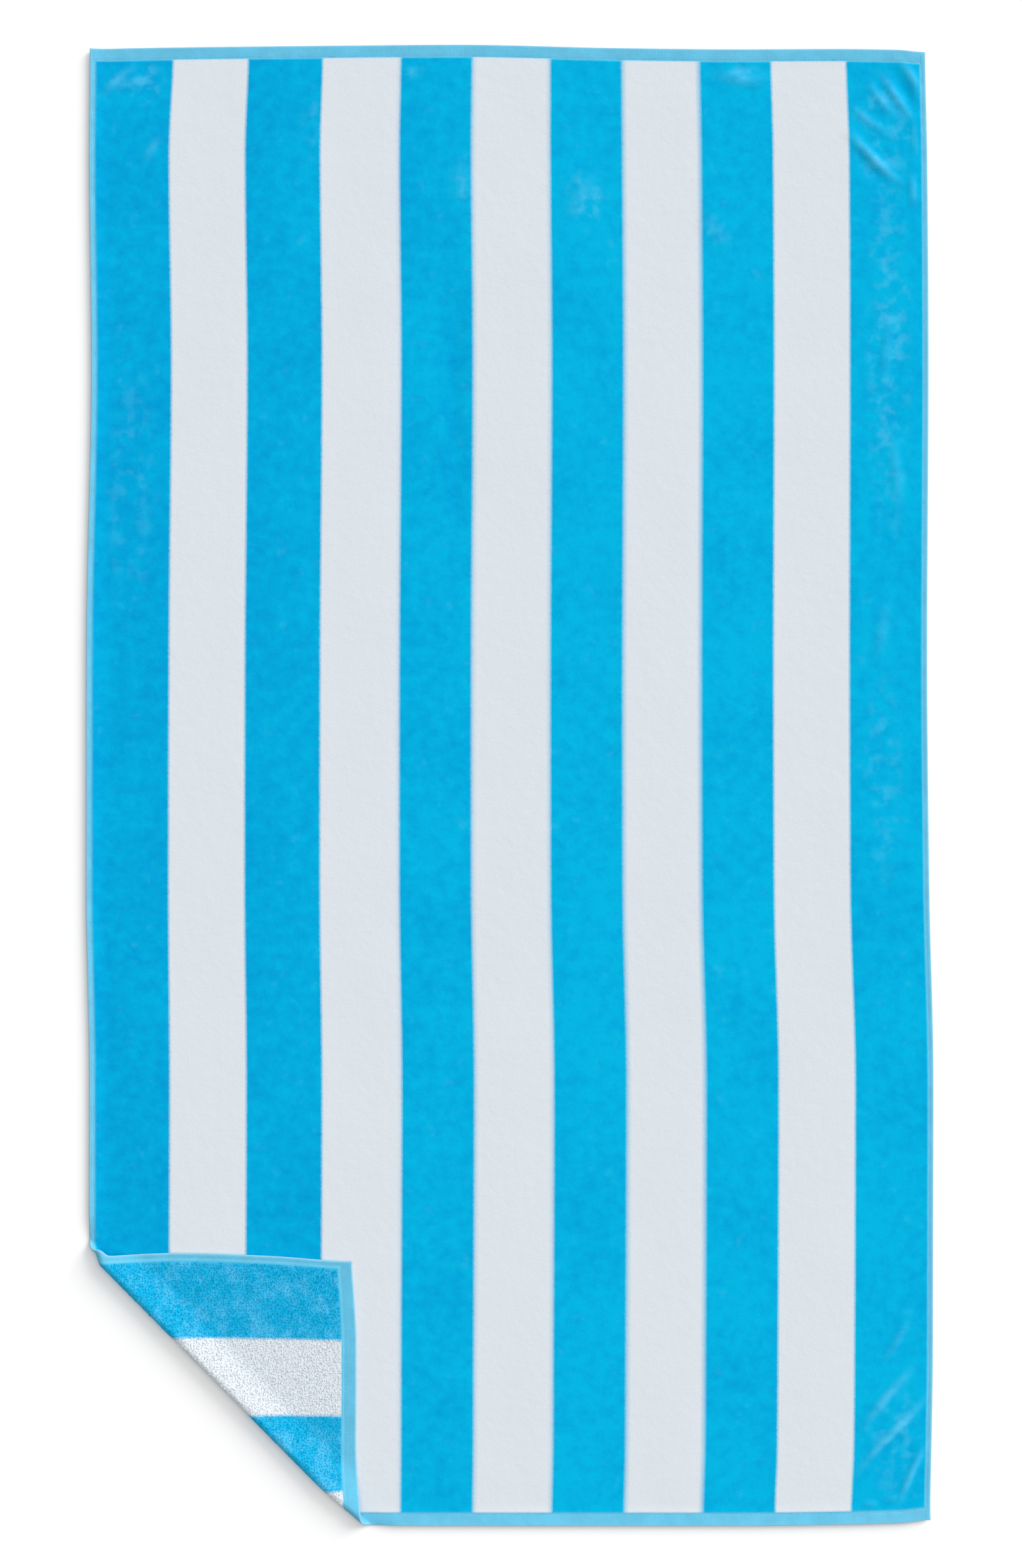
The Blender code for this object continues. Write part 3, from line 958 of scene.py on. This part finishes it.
def stitch_mesh(cloth):
    """Every hem stitch on both faces as one mesh of short slack threads sunk into the groove."""
    across, height, heading = stitch_rows(cloth)
    rings, around = 4, 5
    chance = np.random.default_rng(cloth.seed)
    across = across + chance.normal(0, STRAY, len(across))
    height = height + chance.normal(0, STRAY, len(height))
    half = cloth_thickness(across, height, cloth) / 2
    lifted = relief(across, height, cloth)
    reach = cloth.stitch * 0.43
    spots = []
    for outward in (1, -1):
        profile = []
        for ring in range(rings):
            t = ring / (rings - 1) * 2 - 1
            thick = cloth.thread / 2 * (0.55 + 0.45 * (1 - t * t))
            arch = STITCH_RISE * (1 - t * t) - STITCH_SUNK
            for side in range(around):
                turn = math.tau * side / around
                rise = arch + thick * math.sin(turn)
                profile.append((t * reach * 0.9, thick * math.cos(turn), rise))
        profile += [(-reach, 0, STITCH_ENDS), (reach, 0, STITCH_ENDS)]
        for forward, aside, rise in profile:
            u = across + heading[:, 0] * forward - heading[:, 1] * aside
            v = height + heading[:, 1] * forward + heading[:, 0] * aside
            level = lifted + outward * (half + rise)
            spots.append(laid(u, v, level))
    each = rings * around + 2
    face_spots = np.stack(spots[:each], axis=1).reshape(-1, 3)
    reverse_spots = np.stack(spots[each:], axis=1).reshape(-1, 3)
    faces = tube_faces(rings, around)
    count = len(across)
    shell = repeated(faces, each, count)
    turned = repeated([tuple(reversed(face)) for face in faces], each, count)
    shell += [tuple(corner + each * count for corner in face) for face in turned]
    together = np.concatenate((face_spots, reverse_spots)) + outline_shift()
    together[:, 2] = np.maximum(together[:, 2], 0.0)
    mesh = bpy.data.meshes.new("hem_stitching")
    mesh.from_pydata(together.tolist(), [], shell)
    mesh.shade_smooth()
    return mesh


def loop_mesh(cloth):
    """The terry loops of the turned corner's reverse as one mesh of small leaning arches."""
    chance = np.random.default_rng(cloth.seed + 1)
    reach = FOLD_START + LOOPS_PAST
    places = np.arange(0, reach, cloth.loop_pitch)
    across, height = (grid.ravel() for grid in np.meshgrid(places, places))
    across = across + chance.uniform(-0.4, 0.4, len(across)) * cloth.loop_pitch
    height = height + chance.uniform(-0.4, 0.4, len(height)) * cloth.loop_pitch
    side, end = from_rim(across, height)
    run = past_root(across, height)
    inset = cloth.turning + LOOPS_INSET
    kept = (run > LOOPS_FROM * CURL_LENGTH) & (side > cloth.side_hem + inset)
    kept &= end > cloth.end_hem + inset
    across, height = across[kept], height[kept]
    rings, around = 5, 3
    lean = math.tau * clouds(across, height, 0.012, cloth.seed + 3)
    lean = lean + chance.normal(0, 0.5, len(lean))
    size = chance.uniform(0.75, 1.2, len(lean))
    half = cloth_thickness(across, height, cloth) / 2
    facing = chance.uniform(0, math.tau, len(lean))
    spots, cloth_places = [], []
    for ring in range(rings):
        turn = math.pi * ring / (rings - 1)
        for side_of in range(around):
            round_yarn = math.tau * side_of / around
            yarn = LOOP_YARN * np.cos(round_yarn)
            thick = LOOP_YARN * np.sin(round_yarn)
            forward = -math.cos(turn) * (LOOP_HALF_WIDTH + thick) * size
            rise = math.sin(turn) * (cloth.loop_height + thick) * size - LOOP_SUNK
            u = across + np.cos(facing) * forward - np.sin(facing) * yarn
            v = height + np.sin(facing) * forward + np.cos(facing) * yarn
            u = u + np.cos(lean) * rise * LOOP_LEAN
            v = v + np.sin(lean) * rise * LOOP_LEAN
            spots.append(laid(u, v, -half - rise * LOOP_STAND))
            cloth_places.append(np.column_stack((u, v)))
    faces = []
    for ring in range(rings - 1):
        for side_of in range(around):
            near, far = ring * around + side_of, ring * around + (side_of + 1) % around
            faces.append((near, near + around, far + around, far))
    faces += [(0, 1, 2), (rings * around - 1, rings * around - 2, rings * around - 3)]
    each, count = rings * around, len(across)
    together = np.stack(spots, axis=1).reshape(-1, 3) + outline_shift()
    mesh = bpy.data.meshes.new("terry_loops")
    mesh.from_pydata(together.tolist(), [], repeated(faces, each, count))
    map_cloth(mesh, np.stack(cloth_places, axis=1).reshape(-1, 2))
    mesh.shade_smooth()
    return mesh


class MakeStitching(bpy.types.Operator):
    """Makes the sewn stitches along the inner edge of every hem, on both faces"""

    bl_idname = "towel.make_stitching"
    bl_label = "Make hem stitching"

    def execute(self, context):
        """Adds the stitches as one joined mesh."""
        scene = context.scene
        stitching = new_object("hem_stitching", stitch_mesh(scene.towel_cloth))
        stitching.data.materials.append(
            yarn_material("sewing thread", tuple(scene.towel_colours.thread), 0.0006)
        )
        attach(stitching, "root")
        return {"FINISHED"}


class MakeLoops(bpy.types.Operator):
    """Makes the terry loops that show on the turned corner"""

    bl_idname = "towel.make_loops"
    bl_label = "Make terry loops"

    def execute(self, context):
        """Adds the loops as one joined mesh."""
        scene = context.scene
        loops = new_object("terry_loops", loop_mesh(scene.towel_cloth))
        loops.data.materials.append(loop_material(scene.towel_colours))
        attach(loops, "root")
        return {"FINISHED"}


class MakeCloth(bpy.types.Operator):
    """Makes the cloth of the towel: velour face, terry reverse and woven hems"""

    bl_idname = "towel.make_cloth"
    bl_label = "Make cloth"

    def execute(self, context):
        """Adds the cloth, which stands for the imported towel, after its stitches and loops."""
        scene = context.scene
        sewn_on = [bpy.data.objects.get(name) for name in ("hem_stitching", "terry_loops")]
        if None in sewn_on:
            raise RuntimeError("make the stitching and the loops before the cloth")
        towel = new_object("cloth", cloth_mesh(scene.towel_cloth))
        for make in (velour_material, terry_material, hem_material):
            towel.data.materials.append(make(scene.towel_cloth, scene.towel_colours))
        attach(towel, "root")
        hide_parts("towel")
        return {"FINISHED"}


class MakeStage(bpy.types.Operator):
    """Makes the floor, the lights and the camera"""

    bl_idname = "towel.make_stage"
    bl_label = "Make stage"

    def execute(self, context):
        """Adds a plain pale floor, two soft lights and a camera looking straight down."""
        scene, stage = context.scene, context.scene.towel_stage
        floor_mesh = bpy.data.meshes.new("floor")
        near, far = -FLOOR_REACH, FLOOR_REACH
        corners = [(near, near, 0), (far, near, 0), (far, far, 0), (near, far, 0)]
        floor_mesh.from_pydata(corners, [], [(0, 1, 2, 3)])
        floor = new_object("floor", floor_mesh)
        floor.location.z = -FLOOR_DROP
        material, _, shader = surface("pale floor", Roughness=0.9, Specular_IOR_Level=0.1)
        shader.inputs["Base Color"].default_value = (*scene.towel_colours.floor, 1)
        floor_mesh.materials.append(material)
        towards_beside = (
            math.cos(stage.slant) * math.cos(BESIDE_HEADING),
            math.cos(stage.slant) * math.sin(BESIDE_HEADING),
            math.sin(stage.slant),
        )
        lights = (
            ("light above", stage.above, ABOVE_SPREAD, TOWARDS_ABOVE),
            ("light beside", stage.beside, BESIDE_SPREAD, towards_beside),
        )
        for name, strength, spread, towards in lights:
            lamp = bpy.data.lights.new(name, "SUN")
            lamp.energy = strength
            lamp.angle = spread
            light = bpy.data.objects.new(name, lamp)
            light.rotation_mode = "QUATERNION"
            light.rotation_quaternion = Vector(towards).to_track_quat("Z", "Y")
            light.location = Vector(towards) * LIGHT_DISTANCE
            scene.collection.objects.link(light)
        world = bpy.data.worlds.new("studio")
        world.use_nodes = True
        background = world.node_tree.nodes["Background"]
        background.inputs["Color"].default_value = (1, 1, 1, 1)
        background.inputs["Strength"].default_value = WORLD_STRENGTH
        scene.world = world
        scene.view_settings.view_transform = "Standard"
        camera_data = bpy.data.cameras.new("camera")
        camera_data.lens = camera_data.sensor_width * stage.camera_height / stage.view_length
        camera_data.clip_end = 100
        camera = bpy.data.objects.new("camera", camera_data)
        camera.location = (*CAMERA_OVER, stage.camera_height)
        scene.collection.objects.link(camera)
        scene.camera = camera
        return {"FINISHED"}


class TowelPanel(bpy.types.Panel):
    """Lists what makes the towel"""

    bl_idname = "VIEW3D_PT_towel"
    bl_label = "Beach towel"
    bl_space_type = "VIEW_3D"
    bl_region_type = "UI"
    bl_category = "Towel"

    def draw(self, context):
        """Draws the sizes, the colours and the operators."""
        scene = context.scene
        for group in (scene.towel_cloth, scene.towel_colours, scene.towel_stage):
            box = self.layout.box()
            for name in group.__annotations__:
                box.prop(group, name)
        for operator in OPERATORS:
            self.layout.operator(operator.bl_idname)


OPERATORS = (MakeStage, MakeStitching, MakeLoops, MakeCloth)
GROUPS = {"towel_cloth": TowelCloth, "towel_colours": TowelColours, "towel_stage": TowelStage}


def register():
    """Makes the add-on's classes and settings known to Blender."""
    for made in (*GROUPS.values(), *OPERATORS, TowelPanel):
        bpy.utils.register_class(made)
    for name, group in GROUPS.items():
        setattr(bpy.types.Scene, name, bpy.props.PointerProperty(type=group))


def unregister():
    """Takes the add-on's classes and settings out of Blender."""
    for name in GROUPS:
        delattr(bpy.types.Scene, name)
    for made in reversed((*GROUPS.values(), *OPERATORS, TowelPanel)):
        bpy.utils.unregister_class(made)


def main():
    """Makes the stage and the towel."""
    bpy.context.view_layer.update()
    register()
    bpy.ops.towel.make_stage()
    bpy.ops.towel.make_stitching()
    bpy.ops.towel.make_loops()
    bpy.ops.towel.make_cloth()
    bpy.context.view_layer.update()


if __name__ == "__main__":
    main()
